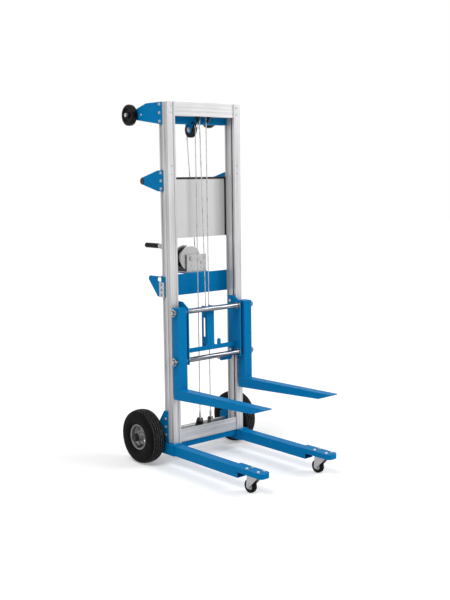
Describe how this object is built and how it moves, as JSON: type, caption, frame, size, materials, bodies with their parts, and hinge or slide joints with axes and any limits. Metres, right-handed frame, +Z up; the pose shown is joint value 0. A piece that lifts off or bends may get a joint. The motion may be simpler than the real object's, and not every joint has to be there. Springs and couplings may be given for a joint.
{
  "type": "material hoist",
  "caption": "Hand-winched telescoping mast hoist on a straddle base with casters and air tyres, lifting a fork carriage by wire rope, with small wheels at the top for loading.",
  "frame": {"origin": "on the floor, below the middle of the front face of the mast", "axes": "+Z up, forks point to -Y, +X to the far side in the picture"},
  "size_m": [0.7, 0.967, 1.731],
  "materials": {
    "blue_paint": "satin powder coat",
    "alloy": "extruded, brushed",
    "steel": "zinc plated",
    "rope": "galvanised wire",
    "rubber": "matte",
    "plastic": "moulded",
    "dark_steel": "black paint",
    "chrome": "polished"
  },
  "bodies": {
    "base": {"base_frame": "blue_paint", "legs": "blue_paint", "caster_mounts": "blue_paint", "caster_plates": "steel", "foot_plates": "blue_paint", "axle": "steel", "fixed_columns": "alloy", "fixed_pads": "plastic", "top_crossmember": "blue_paint", "sheave_clevis": "blue_paint", "top_brackets": "blue_paint", "load_wheel_bolts": "steel", "handle_brackets": "blue_paint", "push_handle": "steel", "panel": "alloy", "panel_trim": "plastic", "winch_bracket": "blue_paint", "lock_strap": "steel", "winch_frame": "steel", "drum_shaft": "steel", "base_rope_lug": "dark_steel", "winch_rope": "rope", "lift_rope": "rope", "carriage_rope_rise": "rope", "frame_bolts": "steel"},
    "mast": {"moving_columns": "alloy", "moving_pads": "plastic", "top_beam": "alloy", "beam_lugs": "dark_steel", "bottom_channel": "alloy", "mast_rope_lug": "dark_steel", "mast_sheave_pin": "steel", "carriage_rope_bend": "rope", "carriage_rope_fall": "rope"},
    "carriage": {"carriage_frame": "blue_paint", "fork_rods": "chrome", "rod_pins": "steel", "roller_studs": "steel", "fork_near": "blue_paint", "fork_far": "blue_paint"},
    "upper_roller_set": {"upper_rollers": "steel"},
    "lower_roller_set": {"lower_rollers": "steel"},
    "latch": {"latch_lever": "blue_paint"},
    "winch_drum": {"drum": "steel", "rope_winding": "rope"},
    "crank": {"crank_shaft": "steel", "crank_arm": "steel"},
    "crank_grip": {"grip": "plastic"},
    "wheel_near": {"tyre_near": "rubber", "rim_near": "steel"},
    "wheel_far": {"tyre_far": "rubber", "rim_far": "steel"},
    "caster_near": {"caster_fork_near": "steel"},
    "caster_far": {"caster_fork_far": "steel"},
    "caster_roll_near": {"caster_wheel_near": "plastic"},
    "caster_roll_far": {"caster_wheel_far": "plastic"},
    "loading_near": {"load_wheel_near": "plastic"},
    "loading_far": {"load_wheel_far": "plastic"},
    "winch_pulley": {"winch_sheave": "plastic"},
    "mast_pulley": {"mast_sheave": "plastic"}
  },
  "joints": [
    {"name": "mast_lift", "type": "slide", "parent": "base", "child": "mast", "axis": [0, 0, 1], "range_m": [0, 0.82], "deforming": ["lift_rope", "carriage_rope_rise"]},
    {"name": "carriage_lift", "type": "slide", "parent": "mast", "child": "carriage", "axis": [0, 0, 1], "range_m": [0, 0.82], "deforming": ["carriage_rope_fall"]},
    {"name": "drum_turn", "type": "hinge", "parent": "base", "child": "winch_drum", "pos_m": [-0.024, 0.1265, 0.987], "axis": [0, 1, 0], "range_deg": [0, 1310]},
    {"name": "crank_turn", "type": "hinge", "parent": "base", "child": "crank", "pos_m": [0.0399, 0.17, 0.96374], "axis": [0, 1, 0], "range_deg": [-6100, 0]},
    {"name": "winch_sheave_turn", "type": "hinge", "parent": "base", "child": "winch_pulley", "pos_m": [-0.031, 0.068, 1.607], "axis": [1, 0, 0], "range_deg": [-1385, 0]},
    {"name": "mast_sheave_turn", "type": "hinge", "parent": "mast", "child": "mast_pulley", "pos_m": [0.01, 0.027, 1.69], "axis": [0, 1, 0], "range_deg": [0, 2352]},
    {"name": "grip_turn", "type": "hinge", "parent": "crank", "child": "crank_grip", "pos_m": [-0.14589, 0.24, 1.05038], "axis": [0, 1, 0], "continuous": true},
    {"name": "wheel_near_turn", "type": "hinge", "parent": "base", "child": "wheel_near", "pos_m": [-0.294, 0.151, 0.132], "axis": [1, 0, 0], "continuous": true},
    {"name": "wheel_far_turn", "type": "hinge", "parent": "base", "child": "wheel_far", "pos_m": [0.294, 0.151, 0.132], "axis": [1, 0, 0], "continuous": true},
    {"name": "caster_near_swivel", "type": "hinge", "parent": "base", "child": "caster_near", "pos_m": [-0.212, -0.572, 0.094], "axis": [0, 0, 1], "continuous": true},
    {"name": "caster_far_swivel", "type": "hinge", "parent": "base", "child": "caster_far", "pos_m": [0.212, -0.572, 0.094], "axis": [0, 0, 1], "continuous": true},
    {"name": "caster_near_turn", "type": "hinge", "parent": "caster_near", "child": "caster_roll_near", "pos_m": [-0.212, -0.54, 0.031], "axis": [1, 0, 0], "continuous": true},
    {"name": "caster_far_turn", "type": "hinge", "parent": "caster_far", "child": "caster_roll_far", "pos_m": [0.212, -0.54, 0.031], "axis": [1, 0, 0], "continuous": true},
    {"name": "loading_near_turn", "type": "hinge", "parent": "base", "child": "loading_near", "pos_m": [-0.247, 0.268, 1.68], "axis": [1, 0, 0], "continuous": true},
    {"name": "loading_far_turn", "type": "hinge", "parent": "base", "child": "loading_far", "pos_m": [0.247, 0.268, 1.68], "axis": [1, 0, 0], "continuous": true},
    {"name": "upper_rollers_turn", "type": "hinge", "parent": "carriage", "child": "upper_roller_set", "pos_m": [0, 0.014, 0.769], "axis": [1, 0, 0], "continuous": true},
    {"name": "lower_rollers_turn", "type": "hinge", "parent": "carriage", "child": "lower_roller_set", "pos_m": [0, 0.014, 0.521], "axis": [1, 0, 0], "continuous": true},
    {"name": "latch_swing", "type": "hinge", "parent": "carriage", "child": "latch", "pos_m": [0.104, -0.0152, 0.553], "axis": [0, 1, 0], "range_deg": [-15, 0]}
  ],
  "couplings": [
    {"joint": "carriage_lift", "follows": "mast_lift", "ratio": 1},
    {"joint": "drum_turn", "follows": "mast_lift", "rad_per_m": 27.778},
    {"joint": "crank_turn", "follows": "mast_lift", "rad_per_m": -129.63},
    {"joint": "winch_sheave_turn", "follows": "mast_lift", "rad_per_m": -29.412},
    {"joint": "mast_sheave_turn", "follows": "mast_lift", "rad_per_m": 50}
  ]
}
